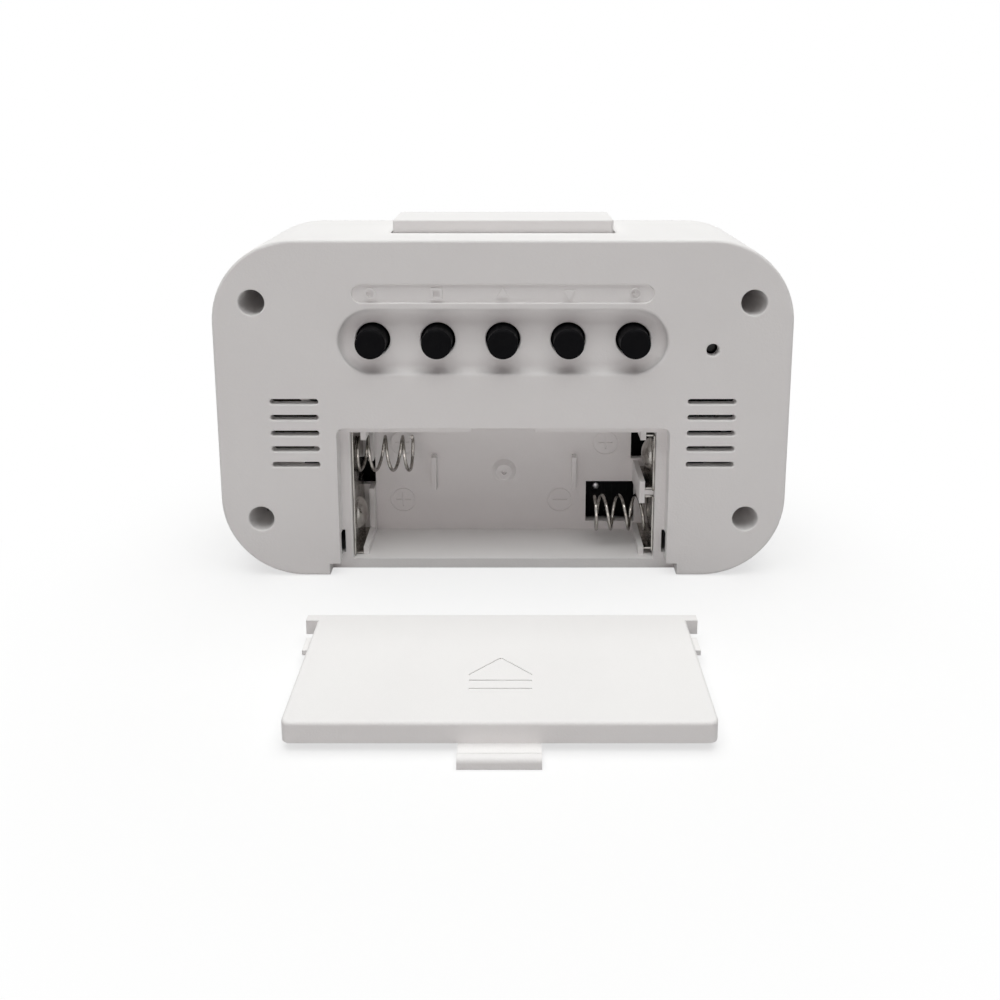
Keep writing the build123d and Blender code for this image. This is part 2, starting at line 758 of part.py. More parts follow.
def make_main_board_pieces():
    """What is soldered, pressed or screwed to the main board."""
    led_x = (-lcd_width / 2 + fit_gap, -lcd_width / 2 + fit_gap + led_thickness)
    led_y = (lcd_back_y, main_board_front_y)
    leds = []
    for rise in (-led_spread / 2, led_spread / 2):
        led_z = (middle_z + rise - led_length / 2, middle_z + rise + led_length / 2)
        leds.append(block(led_x, led_y, led_z))
    blob_top_y = main_board_back_y + blob_height
    blob = rod(blob_x, middle_z + blob_rise, blob_diameter / 2, main_board_back_y, blob_top_y)
    blob = fillet(blob.faces().sort_by(Axis.Y)[-1].edges(), blob_height * blob_round_share)
    crystal_y = main_board_back_y + crystal_diameter / 2 + fit_gap
    crystal_z = middle_z + crystal_rise
    can_plane = Plane(origin=(crystal_x, crystal_y, crystal_z), z_dir=(1, 0, 0))
    crystal = extrude(can_plane * Circle(crystal_diameter / 2), amount=crystal_length)
    pad_z = (crystal_z - crystal_pad / 2, crystal_z + crystal_pad / 2)
    crystal += block((crystal_x, crystal_x + crystal_length), (main_board_back_y, crystal_y), pad_z)
    screw = (board_screw_diameter, board_screw_head, board_screw_head_height)
    grip = board_screw_grip + board_thickness - fit_gap
    screws = [tapping_screw(x, z, main_board_back_y, -1, *screw, grip) for x, z in board_screw_places]
    return {
        "backlight_leds": group(leds),
        "controller_blob": blob,
        "quartz_crystal": crystal,
        "main_board_screws": group(screws),
    }


def make_key_board():
    """Board behind the keys, with a wing that reaches the reset switch."""
    half = key_row_width / 2 + key_board_margin
    board_middle_z = (key_board_low_z + key_board_top_z) / 2
    outline = Pos(0, board_middle_z) * Rectangle(2 * half, key_board_above + key_board_below)
    wing_end = pin_hole_x - reset_board_margin
    wing = Pos(wing_end / 2, pin_hole_z) * Rectangle(-wing_end, 2 * reset_board_margin)
    board = slab(outline + wing, key_board_front_y, key_board_back_y)
    hole = board_screw_diameter / 2 + screw_play
    return board - [rod(x, z, hole, key_board_front_y, key_board_back_y) for x, z in key_screw_places]


def switch_body(x, z, side, height, stem_diameter, stem_seat):
    """Push switch on the back of the key board, with the bore of its plunger."""
    top_y = key_board_back_y + height
    half = side / 2
    body = block((x - half, x + half), (key_board_back_y, top_y), (z - half, z + half))
    return body - rod(x, z, stem_diameter / 2 + switch_stem_play, top_y - stem_seat, top_y)


def make_key_board_pieces():
    """Switch bodies, screws and the ribbon to the main board."""
    stem_room = switch_stem_seat + key_travel + fit_gap
    size = (switch_side, switch_height, switch_stem_diameter)
    keys = [switch_body(x, key_z, *size, stem_room) for x in key_xs]
    reset_room = reset_stem_seat + reset_travel + fit_gap
    reset = switch_body(
        pin_hole_x, pin_hole_z, reset_switch_side, reset_switch_height, reset_stem_diameter, reset_room
    )
    snooze_y = (key_board_front_y - snooze_switch_depth, key_board_front_y)
    snooze_z = (key_board_top_z - switch_side, key_board_top_z)
    snooze = block((-switch_side / 2, switch_side / 2), snooze_y, snooze_z)
    snooze_room = snooze_stem_seat + snooze_travel + fit_gap
    bore = Pos(0, snooze_stem_y) * Circle(snooze_stem_diameter / 2 + switch_stem_play)
    snooze -= pillar(bore, key_board_top_z - snooze_room, key_board_top_z)
    screw = (board_screw_diameter, board_screw_head, board_screw_head_height)
    grip = board_screw_grip + board_thickness - fit_gap
    screws = [tapping_screw(x, z, key_board_front_y, 1, *screw, grip) for x, z in key_screw_places]
    ribbon_z = key_z - ribbon_sink
    ribbon_span = (ribbon_x - ribbon_width / 2, ribbon_x + ribbon_width / 2)
    ribbon_layer = (ribbon_z - ribbon_thickness / 2, ribbon_z + ribbon_thickness / 2)
    return {
        "key_switch_bodies": group(keys),
        "reset_switch_body": reset,
        "snooze_switch_body": snooze,
        "key_board_screws": group(screws),
        "key_ribbon": block(ribbon_span, (main_board_back_y, key_board_front_y), ribbon_layer),
    }


# Keys, snooze bar and reset plunger


def make_key(x):
    """Round cap with a flange behind the recess floor."""
    face_y = back_y + key_proud
    cap = rod(x, key_z, key_diameter / 2, key_flange_front_y, face_y)
    cap = fillet(cap.faces().sort_by(Axis.Y)[-1].edges(), key_edge_radius)
    flange_radius = key_hole_diameter / 2 + key_flange_overlap
    return cap + rod(x, key_z, flange_radius, key_flange_front_y, key_flange_back_y)


def make_snooze_bar():
    """Hollow cap through the top wall, with a flange under it and a stem down to its switch."""
    top_z = case_height + bar_proud
    outline = Pos(0, bar_middle_y) * RectangleRounded(bar_width, bar_depth, bar_corner_radius)
    bar = pillar(outline, bar_flange_low_z, top_z)
    bar = fillet(bar.faces().sort_by(Axis.Z)[-1].edges(), bar_edge_radius)
    flange = Rectangle(bar_width + 2 * bar_flange, bar_depth + 2 * bar_flange)
    bar += pillar(Pos(0, bar_middle_y) * flange, bar_flange_low_z, bar_flange_top_z)
    hollow = Rectangle(bar_width - 2 * bar_wall, bar_depth - 2 * bar_wall)
    bar -= pillar(Pos(0, bar_middle_y) * hollow, bar_flange_low_z, top_z - bar_wall)
    stem = Pos(0, snooze_stem_y) * Rectangle(bar_stem_width, bar_stem_depth)
    return bar + pillar(stem, snooze_stem_top_z, top_z - bar_wall + bite)


def make_controls():
    """Caps and plungers that move."""
    nodes = {}
    stem_low_y = switch_top_y - switch_stem_seat
    for name, x in zip(key_names, key_xs):
        nodes[f"{name}_button"] = make_key(x)
        nodes[f"{name}_plunger"] = rod(x, key_z, switch_stem_diameter / 2, stem_low_y, key_flange_front_y)
    nodes["snooze_bar"] = make_snooze_bar()
    snooze_stem = Pos(0, snooze_stem_y) * Circle(snooze_stem_diameter / 2)
    nodes["snooze_plunger"] = pillar(snooze_stem, key_board_top_z - snooze_stem_seat, snooze_stem_top_z)
    reset_low_y = key_board_back_y + reset_switch_height - reset_stem_seat
    reset_high_y = back_inner_y - reset_stem_gap
    nodes["reset_plunger"] = rod(pin_hole_x, pin_hole_z, reset_stem_diameter / 2, reset_low_y, reset_high_y)
    return nodes


# Battery contacts, springs and leads


def contact(side, z_low, z_high):
    """Plate against a bay end, its two ends folded in to the partition that holds it."""
    plate_y = (bay_deep_y + fit_gap, bay_deep_y + contact_width)
    plate = block((side * contact_face_x, side * contact_back_x), plate_y, (z_low, z_high))
    fold_x = (side * contact_face_x, side * (partition_outer_x + contact_play))
    fold_y = (bay_deep_y + fit_gap, bay_deep_y + partition_depth)
    for fold_z in (z_low, z_high - contact_thickness):
        plate += block(fold_x, fold_y, (fold_z, fold_z + contact_thickness))
    return plate


def contact_dimple(side, z):
    """Domed round that meets a cell's cap."""
    half = contact_dimple_diameter / 2
    radius = (half * half + contact_dimple_height * contact_dimple_height) / (2 * contact_dimple_height)
    centre_x = side * (contact_face_x - contact_dimple_height + radius)
    dome_x = (side * (contact_face_x - contact_dimple_height - bite), side * contact_back_x)
    reach = block(dome_x, (cell_y - radius, cell_y + radius), (z - radius, z + radius))
    ball = Pos(centre_x, cell_y, z) * Rot(0, 0, 90) * Sphere(radius)
    return ball & reach


def contact_tail(z):
    """Solder tail through the slit in the deep wall."""
    tail_y = (bay_deep_y - bay_wall - tail_length, bay_deep_y + bite)
    tail_z = (z + tail_rise - tail_width / 2, z + tail_rise + tail_width / 2)
    return block((-contact_face_x, -contact_back_x), tail_y, tail_z)


def biarc(start, start_way, end, end_way):
    """Two tangent arcs from one point and direction to another."""
    across = end - start
    both = start_way + end_way
    spread = 2 * (1 - start_way.dot(end_way))
    along = across.dot(both)
    reach = (math.sqrt(along * along + spread * across.dot(across)) - along) / spread
    first = start + start_way * reach
    second = end - end_way * reach
    join = (first + second) * 0.5
    return [
        Edge.make_tangent_arc(start, start_way, join),
        Edge.make_tangent_arc(join, (second - first).normalized(), end),
    ]


def coil_spring():
    """Coil along +Z from its foot at the origin: a straight foot, open turns, a tighter end turn."""
    radius = (spring_diameter - spring_wire) / 2
    foot_height = spring_wire + spring_lead_radius
    open_pitch = (spring_length - foot_height - spring_wire / 2 - spring_end_pitch) / spring_turns
    heights = [foot_height + open_pitch * quarter / 4 for quarter in range(4 * spring_turns + 1)]
    heights += [heights[-1] + spring_end_pitch * quarter / 4 for quarter in range(1, 5)]
    points = []
    ways = []
    for quarter, height in enumerate(heights):
        angle = quarter * math.pi / 2
        before = heights[max(quarter - 1, 0)]
        after = heights[min(quarter + 1, len(heights) - 1)]
        flat = 0 < quarter < len(heights) - 1
        slope = (after - before) / (math.pi * radius) if flat else 0.0
        points.append(Vector(radius * math.cos(angle), radius * math.sin(angle), height))
        ways.append(Vector(-math.sin(angle), math.cos(angle), slope).normalized())
    foot = Vector(radius, -spring_lead_radius, 0)
    knee = Vector(radius, -spring_lead_radius, spring_wire)
    edges = [Edge.make_line(foot, knee), Edge.make_tangent_arc(knee, Vector(0, 0, 1), points[0])]
    for place in range(len(points) - 1):
        edges += biarc(points[place], ways[place], points[place + 1], ways[place + 1])
    edges.append(Edge.make_line(points[-1], points[-1] + ways[-1] * spring_wire))
    path = Wire(edges)
    gap = least_gap(path, radius)
    print("spring wire length", round(path.length, 2), "least gap to itself", round(gap, 3))
    return sweep(Plane(origin=foot, z_dir=(0, 0, 1)) * Circle(spring_wire / 2), path=path)


def least_gap(path, radius):
    """Least clear distance between stretches of a coil that lie half a turn or more apart."""
    count = gap_samples
    step = path.length / count
    samples = [path.position_at(place / count) for place in range(count + 1)]
    apart = int(math.pi * radius / step)
    gaps = []
    for first in range(count + 1):
        for second in range(first + apart, count + 1):
            gaps.append((samples[first] - samples[second]).length)
    return min(gaps) - spring_wire


def placed_spring(side, z):
    """Coil spring with its foot on a contact plate."""
    plane = Plane(origin=(side * contact_face_x, cell_y, z), x_dir=(0, 0, 1), z_dir=(-side, 0, 0))
    return plane.location * coil_spring()


def battery_lead(z):
    """Short wire from a contact's tail to the main board."""
    tail_y = bay_deep_y - bay_wall - tail_length / 2
    corner_x = -contact_back_x - lead_reach
    points = [(-contact_back_x, tail_y, z), (corner_x, tail_y, z), (corner_x, main_board_back_y, z)]
    path = FilletPolyline(*points, radius=lead_bend_radius)
    return sweep(Plane(origin=points[0], z_dir=(-1, 0, 0)) * Circle(lead_diameter / 2), path=path)


def make_battery_contacts():
    low_z = wall + fit_gap
    high_z = bay_top_z - fit_gap
    half = contact_height / 2
    bridge = contact(1, low_z, high_z) + contact_dimple(1, cell_low_z)
    positive = contact(-1, cell_high_z - half, cell_high_z + half) + contact_dimple(-1, cell_high_z)
    negative = contact(-1, cell_low_z - half, cell_low_z + half)
    return {
        "bridge_contact": bridge,
        "positive_contact": positive + contact_tail(cell_high_z),
        "negative_contact": negative + contact_tail(cell_low_z),
        "bridge_spring": placed_spring(1, cell_high_z),
        "negative_spring": placed_spring(-1, cell_low_z),
        "battery_lead_red": battery_lead(cell_high_z + tail_rise),
        "battery_lead_black": battery_lead(cell_low_z + tail_rise),
    }


# Buzzer, sensor and case screws


def make_sound_and_sensor():
    disc_y = buzzer_back_y - buzzer_thickness
    disc = rod(buzzer_x, vent_middle_z, buzzer_diameter / 2, disc_y, buzzer_back_y)
    leads = []
    for rise in (-buzzer_lead_spread / 2, buzzer_lead_spread / 2):
        lead_z = vent_middle_z + rise
        leads.append(rod(buzzer_x, lead_z, lead_diameter / 2, main_board_back_y, disc_y))
    bead_y = back_inner_y - sensor_setback
    sensor = Pos(-vent_x, bead_y, vent_middle_z) * Sphere(sensor_diameter / 2)
    for offset in (-sensor_leg_spread / 2, sensor_leg_spread / 2):
        sensor += rod(-vent_x + offset, vent_middle_z, sensor_leg_diameter / 2, main_board_back_y, bead_y)
    return {"piezo_buzzer": disc, "buzzer_leads": group(leads), "temperature_sensor": sensor}


def make_case_screws():
    screw = (case_screw_diameter, case_screw_head, case_screw_head_height)
    grip = screw_seat + case_screw_grip - fit_gap
    return group(tapping_screw(x, z, screw_seat_y, -1, *screw, grip) for x, z in screw_places)


# Battery door


def make_battery_door():
    """Door as it lies: Y runs from its tab end to its latch end, its outer face is on top."""
    rim_low_z = door_top_z - door_seat_depth
    middle_y = (door_start_y + door_end_y) / 2
    outline = RectangleRounded(door_width, door_length, door_seat_radius)
    door = pillar(Pos(0, middle_y) * outline, rim_low_z, door_top_z)
    strip_x = (-door_strip_width / 2, door_strip_width / 2)
    strip_end_y = door_start_y + door_strip_length
    door += block(strip_x, (door_start_y, strip_end_y), (door_top_z - notch_height, door_top_z))
    upper_edges = door.faces().sort_by(Axis.Z)[-1].edges()
    free_edges = upper_edges.filter_by(lambda edge: edge.center().Y > strip_end_y + bite)
    door = fillet(free_edges, door_edge_radius)
    hollow = Rectangle(door_width - 2 * door_rim_wall, door_length - 2 * door_rim_wall)
    door -= pillar(Pos(0, middle_y) * hollow, rim_low_z, door_top_z - door_plate)
    door += door_tabs_and_ribs()
    door += make_latch_tongue(rim_low_z)
    return door - slide_mark()


def door_tabs_and_ribs():
    """Side tabs that hook into the case, and the ribs that hold the cells down."""
    tab_low_y = door_start_y + tab_slot_low_z + door_tab_play
    tab_high_y = door_start_y + tab_slot_low_z + tab_slot_height - door_tab_play
    tab_top_z = door_top_z - door_tab_drop
    tab_z = (tab_top_z - door_tab_thickness, tab_top_z)
    rib_y = (door_start_y + door_rim_wall, door_end_y - door_rib_setback)
    pieces = []
    for side in (1, -1):
        tab_x = (side * (door_width / 2 - door_rim_wall), side * (door_width / 2 + door_tab_reach))
        pieces.append(block(tab_x, (tab_low_y, tab_high_y), tab_z))
        rib_x = (side * door_rib_x - door_rib_thickness / 2, side * door_rib_x + door_rib_thickness / 2)
        pieces.append(block(rib_x, rib_y, (0, door_top_z - door_plate)))
    return pieces


def make_latch_tongue(rim_low_z):
    """Sprung tongue under the rim, with a rounded hook at its end."""
    half = tongue_width / 2
    tip_y = door_end_y + tongue_length
    hook_y = tip_y - tongue_hook_length
    tongue = block((-half, half), (door_end_y - tongue_root, hook_y), (0, rim_low_z))
    hook_top_z = rim_low_z + tongue_hook_step
    hook = block((-half, half), (hook_y, tip_y), (0, hook_top_z))
    round_edges = hook.edges().filter_by(Axis.X).group_by(Axis.Z)[-1]
    hook = fillet(round_edges, min(tongue_hook_length, hook_top_z) * tongue_round_share)
    return tongue + hook


def slide_mark():
    """Engraved arrow head that points to the tab end, over two bars."""
    half = slide_mark_width / 2
    bar_ys = [door_end_y - slide_mark_inset - slide_bar_pitch * place for place in range(2)]
    foot_y = bar_ys[-1] - slide_mark_gap
    stroke = Rectangle(math.hypot(half, slide_mark_rise), slide_mark_line)
    slant = math.degrees(math.atan2(slide_mark_rise, half))
    shapes = [Pos(0, bar_y) * Rectangle(slide_mark_width, slide_mark_line) for bar_y in bar_ys]
    for side in (1, -1):
        shapes.append(Pos(side * half / 2, foot_y - slide_mark_rise / 2) * Rot(0, 0, side * slant) * stroke)
    return [pillar(shape, door_top_z - slide_mark_depth, door_top_z + bite) for shape in shapes]


def make_nodes():
    nodes = {"rear_case": make_rear_case(), "front_bezel": make_front_bezel()}
    nodes.update(make_display())
    nodes["main_board"] = make_main_board()
    nodes.update(make_main_board_pieces())
    nodes["key_board"] = make_key_board()
    nodes.update(make_key_board_pieces())
    nodes.update(make_controls())
    nodes.update(make_battery_contacts())
    nodes.update(make_sound_and_sensor())
    nodes["case_screws"] = make_case_screws()
    nodes["battery_door"] = make_battery_door()
    return nodes


os.makedirs("parts", exist_ok=True)
for node, shape in make_nodes().items():
    export_step(shape, f"parts/{node}.step")
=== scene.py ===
import math
import random

import bmesh
import bpy
from mathutils import Matrix, Vector


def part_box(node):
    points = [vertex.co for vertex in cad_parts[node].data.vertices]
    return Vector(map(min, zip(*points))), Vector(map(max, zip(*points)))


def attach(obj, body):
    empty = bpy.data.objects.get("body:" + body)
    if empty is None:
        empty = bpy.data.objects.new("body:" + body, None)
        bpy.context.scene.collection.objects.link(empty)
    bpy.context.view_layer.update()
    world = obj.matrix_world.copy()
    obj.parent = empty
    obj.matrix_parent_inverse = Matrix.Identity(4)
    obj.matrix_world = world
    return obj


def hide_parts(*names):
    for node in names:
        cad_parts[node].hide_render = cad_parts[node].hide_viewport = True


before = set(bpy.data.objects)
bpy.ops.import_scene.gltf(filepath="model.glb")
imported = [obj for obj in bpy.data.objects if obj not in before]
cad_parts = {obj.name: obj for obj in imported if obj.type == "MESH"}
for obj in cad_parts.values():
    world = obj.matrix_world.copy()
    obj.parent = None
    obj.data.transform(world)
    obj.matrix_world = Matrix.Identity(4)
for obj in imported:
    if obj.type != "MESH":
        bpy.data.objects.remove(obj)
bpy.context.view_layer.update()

# Metres in a millimetre
MM = 0.001

# Camera, close to the photograph's, in millimetres, degrees, pixels and shares of the frame
CAMERA_PLACE = (-1.83, 174.65, 84.76)
CAMERA_PITCH = 10.22
CAMERA_SHIFT = (-0.0135, -0.23)
CAMERA_NEAR = 10.0
FOCAL_PIXELS = 961.2
FRAME_PIXELS = 1000.0
SENSOR_WIDTH = 36.0

# Studio, in metres and watts
FLOOR_SIDE = 6.0
FLOOR_DROP = 0.00005
FLOOR_WHITE = (0.97, 0.97, 0.97, 1.0)
FLOOR_BOUNCE = (0.6, 0.6, 0.6, 1.0)
FLOOR_GLOW = 0.66
FLOOR_FADE = (0.05, 0.1)
FLOOR_CENTRE = (0.0, 0.025, 0.0)
AMBIENT = (0.05, 0.045, 0.045, 1.0)
WHITE = (1.0, 1.0, 1.0, 1.0)
LAMPS = {
    "overhead_softbox": {
        "place": (0.0, 0.12, 1.6), "aim": (0.0, 0.0, 0.0), "side": 1.9, "watts": 33.0,
        "colour": (0.985, 1.0, 0.99), "gloss": True,
    },
    "camera_side_fill": {
        "place": (0.08, 0.7, 0.02), "aim": (0.0, 0.0, 0.02), "side": 0.35, "watts": 0.9,
        "colour": (1.0, 0.87, 0.87), "gloss": True,
    },
    "display_side_fill": {
        "place": (-0.1, -0.75, 0.09), "aim": (0.0, 0.0, 0.03), "side": 0.18, "watts": 1.3,
        "colour": (1.0, 0.98, 0.97), "gloss": False,
    },
}

# Patterns: where most of a cloud's values lie, how much of a speck's radius is full,
# and how far an edge turns its normal
CLOUD_SPAN = (0.3, 0.7)
SPECK_CORE = 0.7
EDGE_SPAN = (0.01, 0.2)
BEVEL_SAMPLES = 6

# Springs of the battery bay, in millimetres and turns, with the share of their opening that is wound evenly
SPRINGS = {"bridge_spring": "bridge_coil", "negative_spring": "negative_coil"}
SPRING_WIRE = 0.6
SPRING_TURNS = 4.0
SPRING_CLOSED_TURNS = 0.5
SPRING_EVEN = 0.75
SPRING_POINTS = 220
WIRE_SIDES = 14

# Solder on the main board, in millimetres: the dot seen through the window and a row near the upper edge.
# The row's width and its rise above the board's middle are shares of the board's size.
DOT_RADIUS = 0.8
DOT_RISE = 0.4
DOT_RINGS = 6
DOT_SIDES = 16
WINDOW_DOT = (-18.15, 8.55)
DOT_ROW_COUNT = 18
DOT_ROW_WIDTH = 0.75
DOT_ROW_HEIGHT = 0.42
DOT_ROW_SCATTER = 1.0
DOT_ROW_SEED = 7

# Display print, in millimetres from the middle of the window
SEGMENT_GAP = 0.25
SEGMENT_RISE = 0.03
DIGIT_SLANT = 0.08
DIGIT_GROUPS = [
    {"left": -33.0, "low": -5.0, "count": 2, "width": 11.5, "height": 19.0, "pitch": 15.2, "bar": 2.3},
    {"left": 1.6, "low": -5.0, "count": 2, "width": 11.5, "height": 19.0, "pitch": 15.2, "bar": 2.3},
    {"left": 31.0, "low": -5.0, "count": 1, "width": 4.0, "height": 7.5, "pitch": 6.0, "bar": 0.9},
    {"left": -33.0, "low": -16.6, "count": 2, "width": 4.2, "height": 7.6, "pitch": 6.2, "bar": 0.95},
    {"left": -17.5, "low": -16.6, "count": 2, "width": 4.2, "height": 7.6, "pitch": 6.2, "bar": 0.95},
    {"left": 12.0, "low": -16.6, "count": 3, "width": 4.2, "height": 7.6, "pitch": 6.2, "bar": 0.95},
]
RING_SIDES = 20
# Each dot is x, z and radius, the dash x, z, length and width, the degree ring x, z, radius and line
DOTS = [(-0.9, 1.2, 1.15), (-0.3, 8.4, 1.15), (23.4, -16.2, 0.55)]
DASH = (-19.6, -12.8, 2.2, 0.95)
DEGREE = (32.0, -9.8, 1.0, 0.4)


class Signal:
    """One output in a node tree. Arithmetic on numbers adds Math nodes."""

    def __init__(self, tree, socket):
        self.tree = tree
        self.socket = socket

    def out(self, name):
        """Another output of the same node."""
        return Signal(self.tree, self.socket.node.outputs[name])

    def __add__(self, other):
        return self.tree.math("ADD", self, other)

    def __radd__(self, other):
        return self.tree.math("ADD", other, self)

    def __sub__(self, other):
        return self.tree.math("SUBTRACT", self, other)

    def __rsub__(self, other):
        return self.tree.math("SUBTRACT", other, self)

    def __mul__(self, other):
        return self.tree.math("MULTIPLY", self, other)

    def __rmul__(self, other):
        return self.tree.math("MULTIPLY", other, self)

    def __lt__(self, other):
        return self.tree.math("LESS_THAN", self, other)


class Tree:
    """A node tree that is being built, for a finish or for a shape."""

    def __init__(self, tree):
        self.tree = tree

    def node(self, kind, settings=None, sockets=None, out=0):
        """Adds a node: its settings first, then the values or links of its sockets. Gives one output."""
        made = self.tree.nodes.new(kind)
        for name, value in (settings or {}).items():
            setattr(made, name, value)
        for name, value in (sockets or {}).items():
            self.feed(made.inputs[name], value)
        return Signal(self, made.outputs[out]) if len(made.outputs) else made

    def feed(self, socket, value):
        """Links a signal to a socket, or sets the socket's own value."""
        if isinstance(value, Signal):
            self.tree.links.new(value.socket, socket)
        else:
            socket.default_value = value

    def math(self, operation, *values):
        """One step of arithmetic on signals or numbers."""
        return self.node("ShaderNodeMath", {"operation": operation}, dict(enumerate(values)))

    def mix(self, share, first, second):
        """Colour between two colours."""
        return self.node("ShaderNodeMix", {"data_type": "RGBA"}, {0: share, 6: first, 7: second}, out=2)


class Finish(Tree):
    """A material with one Principled shader, patterned in the piece's own space."""

    def __init__(self, name, **constants):
        self.material = bpy.data.materials.new(name)
        self.material.use_nodes = True
        super().__init__(self.material.node_tree)
        self.shader = self.tree.nodes["Principled BSDF"]
        self.place = self.node("ShaderNodeTexCoord", out="Object")
        self.set(**constants)

    def set(self, **values):
        """Sets or links the shader's sockets, named in lower case with underscores."""
        names = {socket.name.lower().replace(" ", "_"): socket for socket in self.shader.inputs}
        for name, value in values.items():
            self.feed(names[name], value)

    def overlay(self, share, shader):
        """Ends the material in a blend of its own shader and another one."""
        own = Signal(self, self.shader.outputs[0])
        both = self.node("ShaderNodeMixShader", None, {0: share, 1: own, 2: shader})
        self.feed(self.tree.nodes["Material Output"].inputs["Surface"], both)

    def stretched(self, scale):
        """The piece's space, stretched along its axes."""
        return self.node("ShaderNodeMapping", None, {"Vector": self.place, "Scale": scale})

    def axis(self, name):
        """One coordinate of the piece's space, in millimetres."""
        return self.node("ShaderNodeSeparateXYZ", None, {"Vector": self.place}, out=name) * (1 / MM)

    def noise(self, size, detail=2.0, place=None):
        """Cloudy pattern, from 0 to 1, with features about size millimetres wide."""
        sockets = {"Vector": place or self.place, "Scale": 1 / (size * MM), "Detail": detail}
        return self.node("ShaderNodeTexNoise", None, sockets)

    def step(self, value, low, high, start=0.0, end=1.0):
        """Smooth step of a value, from start below low to end above high."""
        sockets = {"Value": value, "From Min": low, "From Max": high, "To Min": start, "To Max": end}
        return self.node("ShaderNodeMapRange", {"interpolation_type": "SMOOTHSTEP"}, sockets)

    def spread(self, clouds, start, end):
        """Number from start to end that follows a cloudy pattern."""
        return self.step(clouds, *CLOUD_SPAN, start, end)

    def specks(self, spacing, share, radius):
        """Mask of sparse round specks: one cell in every 1/share holds one."""
        cells = self.node("ShaderNodeTexVoronoi", None, {"Vector": self.place, "Scale": 1 / (spacing * MM)})
        chance = self.node("ShaderNodeSeparateColor", None, {"Color": cells.out("Color")}, out="Red")
        rim = radius / spacing
        near = self.step(cells.out("Distance"), SPECK_CORE * rim, rim, 1.0, 0.0)
        return near * (chance < share)

    def softened(self, radius):
        """Normal with edges rounded by radius millimetres."""
        return self.node("ShaderNodeBevel", {"samples": BEVEL_SAMPLES}, {"Radius": radius * MM})

    def edge(self, radius):
        """Mask that is 1 on sharp edges and 0 on flat faces."""
        normal = self.node("ShaderNodeNewGeometry", out="Normal")
        pair = {0: self.softened(radius), 1: normal}
        facing = self.node("ShaderNodeVectorMath", {"operation": "DOT_PRODUCT"}, pair, out="Value")
        return self.step(1 - facing, *EDGE_SPAN)

    def bump(self, height, depth, normal=None):
        """Normal after a relief of depth millimetres."""
        sockets = {"Height": height, "Distance": depth * MM, "Strength": 1.0}
        if normal is not None:
            sockets["Normal"] = normal
        return self.node("ShaderNodeBump", None, sockets)


def grey(value):
    """Colour with no hue."""
    return (value, value, value, 1.0)


# Finishes of the shown pieces


def white_abs():
    """Moulded white plastic: faint clouding, fine spark grain, a few specks of dirt."""
    finish = Finish("white_abs", specular_ior_level=0.25, ior=1.5)
    clouds = finish.noise(22.0, detail=3.0)
    base = finish.mix(clouds, (0.845, 0.828, 0.823, 1.0), (0.888, 0.875, 0.869, 1.0))
    fine_dust = finish.specks(spacing=3.2, share=0.05, radius=0.09)
    dirt = finish.specks(spacing=11.0, share=0.10, radius=0.22)
    base = finish.mix(fine_dust * 0.5, base, (0.22, 0.20, 0.18, 1.0))
    base = finish.mix(dirt * 0.75, base, (0.10, 0.09, 0.08, 1.0))
    smears = finish.noise(9.0, detail=4.0)
    grain = finish.noise(0.3, detail=1.0)
    flow = finish.noise(14.0)
    normal = finish.bump(grain, 0.03, finish.softened(0.1))
    finish.set(
        base_color=base,
        roughness=finish.spread(smears, 0.54, 0.66),
        normal=finish.bump(flow, 0.05, normal),
    )
    return finish.material


def black_key():
    """Black rubbery plastic: fine pitted grain, painted highlight along the edges, light dust."""
    finish = Finish("black_key", specular_ior_level=0.06)
    clouds = finish.noise(1.6, detail=3.0)
    base = finish.mix(clouds, (0.0012, 0.0012, 0.0016, 1.0), (0.003, 0.003, 0.0038, 1.0))
    # Painted highlight: the colour itself is lightened along the edges
    base = finish.mix(finish.edge(0.35) * 0.4, base, (0.022, 0.022, 0.025, 1.0))
    dust = finish.specks(spacing=0.9, share=0.05, radius=0.075)
    base = finish.mix(dust * 0.6, base, (0.32, 0.33, 0.36, 1.0))
    grain = finish.noise(0.22)
    finish.set(
        base_color=base,
        roughness=finish.spread(clouds, 0.5, 0.68),
        normal=finish.bump(grain, 0.03, finish.softened(0.2)),
    )
    return finish.material


def metal(name, light, dark, stain, rough, grain_stretch=(1, 1, 1)):
    """Bare metal with drawn streaks and stains; where their colours are far darker than the metal, they
    also paint dark reflection.
    """
    finish = Finish(name, metallic=1.0)
    streaks_and_painted_reflection = finish.noise(1.0, detail=3.0, place=finish.stretched(grain_stretch))
    stains_and_painted_reflection = finish.noise(2.4, detail=3.0)
    # On the contacts and springs, these dark mixes are painted dark reflection as well as streaks and
    # stains
    base = finish.mix(streaks_and_painted_reflection, dark, light)
    base = finish.mix(finish.step(stains_and_painted_reflection, 0.5, 0.72) * 0.55, base, stain)
    finish.set(
        base_color=base,
        roughness=finish.spread(stains_and_painted_reflection, *rough),
        normal=finish.bump(streaks_and_painted_reflection, 0.006, finish.softened(0.08)),
    )
    return finish.material


def nickel_plate():
    """Nickel-plated contact strip, rolled lengthwise and a little tarnished; its dark streaks are painted
    dark reflection.
    """
    light = (0.68, 0.66, 0.63, 1.0)
    # Far darker than nickel: painted dark reflection, laid on by the streaks
    dark = (0.17, 0.155, 0.135, 1.0)
    stain = (0.06, 0.045, 0.03, 1.0)
    return metal("nickel_plate", light, dark, stain, rough=(0.12, 0.28), grain_stretch=(1, 1, 0.1))


